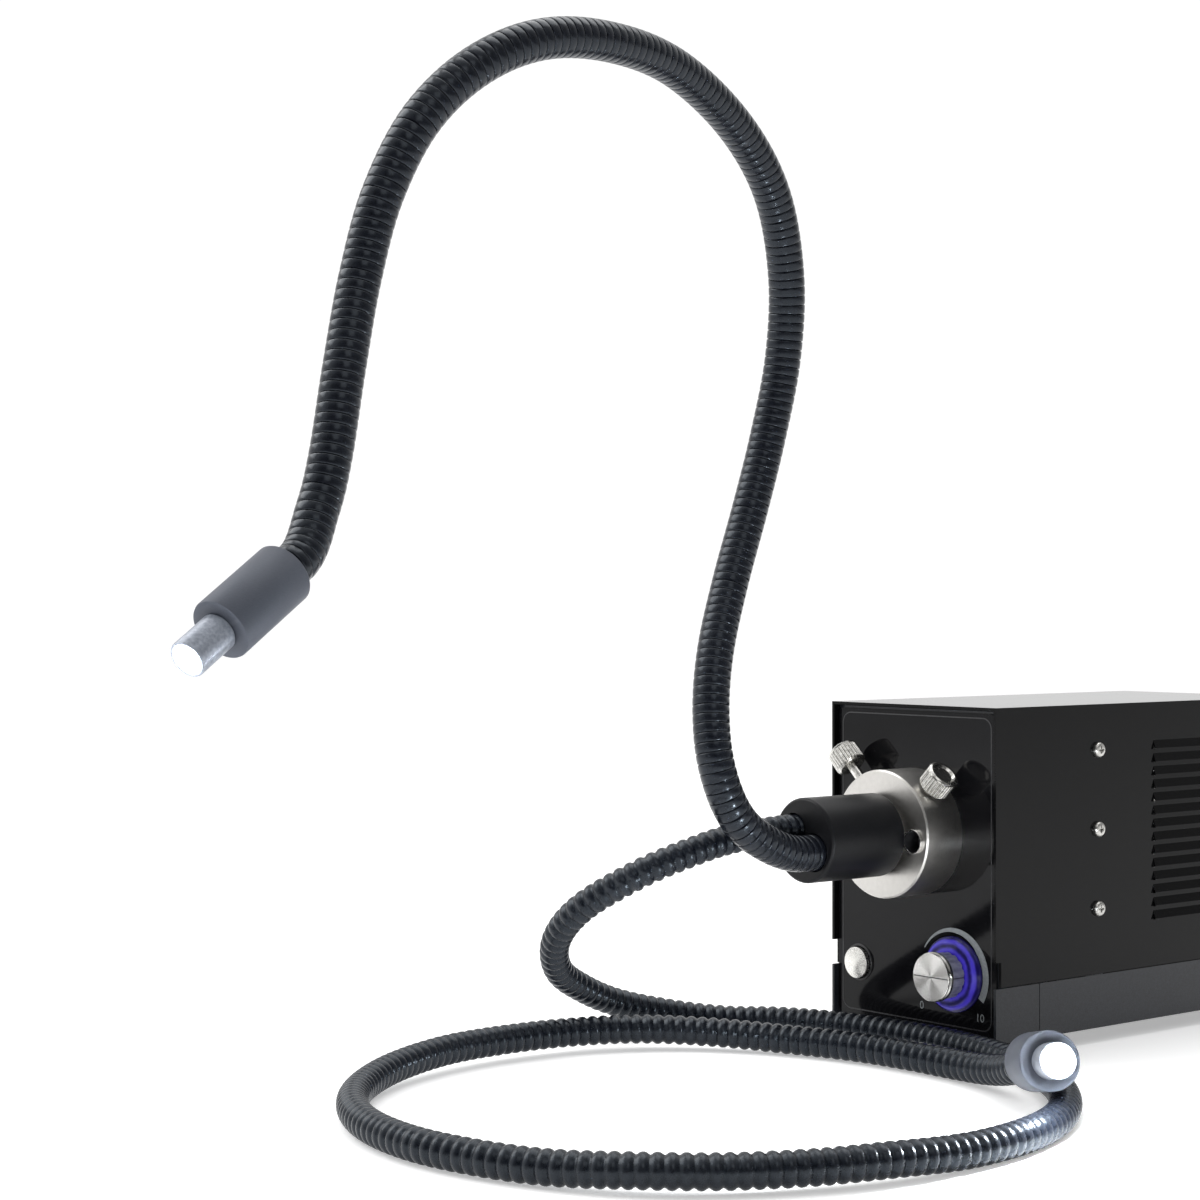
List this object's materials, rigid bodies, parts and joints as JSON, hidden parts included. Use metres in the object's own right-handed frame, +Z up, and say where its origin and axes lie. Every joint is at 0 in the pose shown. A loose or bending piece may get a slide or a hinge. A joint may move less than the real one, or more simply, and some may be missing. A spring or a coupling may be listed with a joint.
{
  "type": "fiber optic illuminator",
  "caption": "Bench light source with a dimmable lamp housing, a self-supporting gooseneck light guide and a loose ribbed light guide.",
  "frame": {"origin": "on the bench, under the middle of the housing", "axes": "+Z up, front panel faces -Y, +X to the right seen from the front"},
  "size_m": [0.2503, 0.5425, 0.3709],
  "materials": {
    "cover_paint": "satin black powder coat",
    "chassis_paint": "satin black paint",
    "overlay_gloss": "glossy black",
    "zinc": "zinc plated steel",
    "foot_rubber": "matt black rubber",
    "satin_metal": "turned, satin",
    "polished_metal": "turned, polished",
    "black_plastic": "matt",
    "brass_gold": "plain",
    "sink_metal": "extruded, black anodised",
    "sheet_zinc": "galvanised sheet",
    "green_board": "solder mask",
    "white_board": "white",
    "emitter": "phosphor",
    "clear_glass": "clear",
    "fiber_glass": "fused fibre ends",
    "halo_plastic": "translucent blue",
    "lamp_glass": "clear lamp",
    "knob_plastic": "matt, fluted",
    "cap_metal": "spun aluminium",
    "part_plastic": "moulded",
    "pot_metal": "plain",
    "shell_black": "black anodised",
    "neck_black": "black anodised bands",
    "guide_black": "black, ribbed",
    "head_grey": "dark grey anodised",
    "tip_steel": "satin",
    "lens_white": "polished fibre end, lit",
    "fiber_sleeve": "matt sleeve"
  },
  "bodies": {
    "housing": {"base_chassis": "chassis_paint", "top_cover": "cover_paint", "front_plate": "chassis_paint", "front_overlay": "overlay_gloss", "rear_panel": "chassis_paint", "cover_screws": "zinc", "rear_screws": "zinc", "rubber_feet": "foot_rubber", "foot_screws": "zinc", "port_collar": "satin_metal", "collar_screws": "zinc", "index_bush": "polished_metal", "power_inlet": "black_plastic", "inlet_pins": "brass_gold", "inlet_screws": "zinc", "fan_frame": "black_plastic", "fan_guard": "zinc", "fan_screws": "zinc", "bulkhead": "sheet_zinc", "heat_sink": "sink_metal", "bulkhead_screws": "zinc", "led_board": "white_board", "led_emitter": "emitter", "lens_holder": "shell_black", "condenser_lens": "clear_glass", "control_board": "green_board", "potentiometer_body": "pot_metal", "switch_body": "black_plastic", "power_board": "green_board", "power_components": "part_plastic", "board_standoffs": "brass_gold", "board_screws": "zinc", "halo_ring": "halo_plastic", "halo_lamps": "lamp_glass"},
    "knob": {"knob_body": "knob_plastic", "knob_cap": "cap_metal", "pot_shaft": "pot_metal"},
    "power_button": {"power_button": "polished_metal"},
    "left_stud": {"left_thumb_stud": "polished_metal"},
    "left_head": {"left_thumb_head": "polished_metal"},
    "right_stud": {"right_thumb_stud": "polished_metal"},
    "right_head": {"right_thumb_head": "polished_metal"},
    "fan_rotor": {"fan_rotor": "black_plastic"},
    "light_guide": {"connector_shell": "shell_black", "connector_barrel": "polished_metal", "fiber_bundle": "fiber_glass", "gooseneck_root": "neck_black", "root_fiber": "fiber_sleeve", "flexible_hose": "guide_black", "flexible_head": "head_grey", "flexible_tip": "tip_steel", "flexible_lens": "lens_white"},
    "gooseneck_rise": {"gooseneck_rise": "neck_black", "rise_fiber": "fiber_sleeve"},
    "gooseneck_arch": {"gooseneck_arch": "neck_black", "arch_fiber": "fiber_sleeve"},
    "gooseneck_drop": {"gooseneck_drop": "neck_black", "gooseneck_head": "head_grey", "gooseneck_tip": "tip_steel", "gooseneck_lens": "lens_white"}
  },
  "joints": [
    {"name": "brightness_knob_turn", "type": "hinge", "parent": "housing", "child": "knob", "pos_m": [0.0205, -0.1, 0.03], "axis": [0, 1, 0], "range_deg": [-50, 220]},
    {"name": "power_button_press", "type": "slide", "parent": "housing", "child": "power_button", "axis": [0, 1, 0], "range_m": [0, 0.0015], "stiffness_N_per_m": 400, "springref_m": -0.001},
    {"name": "left_stud_travel", "type": "slide", "parent": "housing", "child": "left_stud", "axis": [-0.7071, 0, 0.7071], "range_m": [-0.0092, 0]},
    {"name": "left_head_turn", "type": "hinge", "parent": "left_stud", "child": "left_head", "pos_m": [-0.01824, -0.10055, 0.10224], "axis": [-0.7071, 0, 0.7071], "range_deg": [-4732.4, 0]},
    {"name": "right_stud_travel", "type": "slide", "parent": "housing", "child": "right_stud", "axis": [0.7071, 0, 0.7071], "range_m": [0, 0.0092]},
    {"name": "right_head_turn", "type": "hinge", "parent": "right_stud", "child": "right_head", "pos_m": [0.01824, -0.10055, 0.10224], "axis": [0.7071, 0, 0.7071], "range_deg": [0, 4732.4]},
    {"name": "fan_spin", "type": "hinge", "parent": "housing", "child": "fan_rotor", "pos_m": [0, 0.08, 0.096], "axis": [0, 1, 0], "continuous": true},
    {"name": "guide_pull_out", "type": "slide", "parent": "housing", "child": "light_guide", "axis": [0, -1, 0], "range_m": [0, 0.042]},
    {"name": "gooseneck_root_bend", "type": "hinge", "parent": "light_guide", "child": "gooseneck_rise", "pos_m": [0, -0.199, 0.135], "axis": [1, 0, 0], "range_deg": [-20, 15]},
    {"name": "gooseneck_top_bend", "type": "hinge", "parent": "gooseneck_rise", "child": "gooseneck_arch", "pos_m": [0.022, -0.235, 0.361], "axis": [1, 0, 0], "range_deg": [-20, 15]},
    {"name": "gooseneck_tip_bend", "type": "hinge", "parent": "gooseneck_arch", "child": "gooseneck_drop", "pos_m": [0.025, -0.361, 0.304], "axis": [1, 0, 0], "range_deg": [-20, 15]}
  ],
  "couplings": [
    {"joint": "left_head_turn", "follows": "left_stud_travel", "rad_per_m": 8976},
    {"joint": "right_head_turn", "follows": "right_stud_travel", "rad_per_m": 8976}
  ]
}
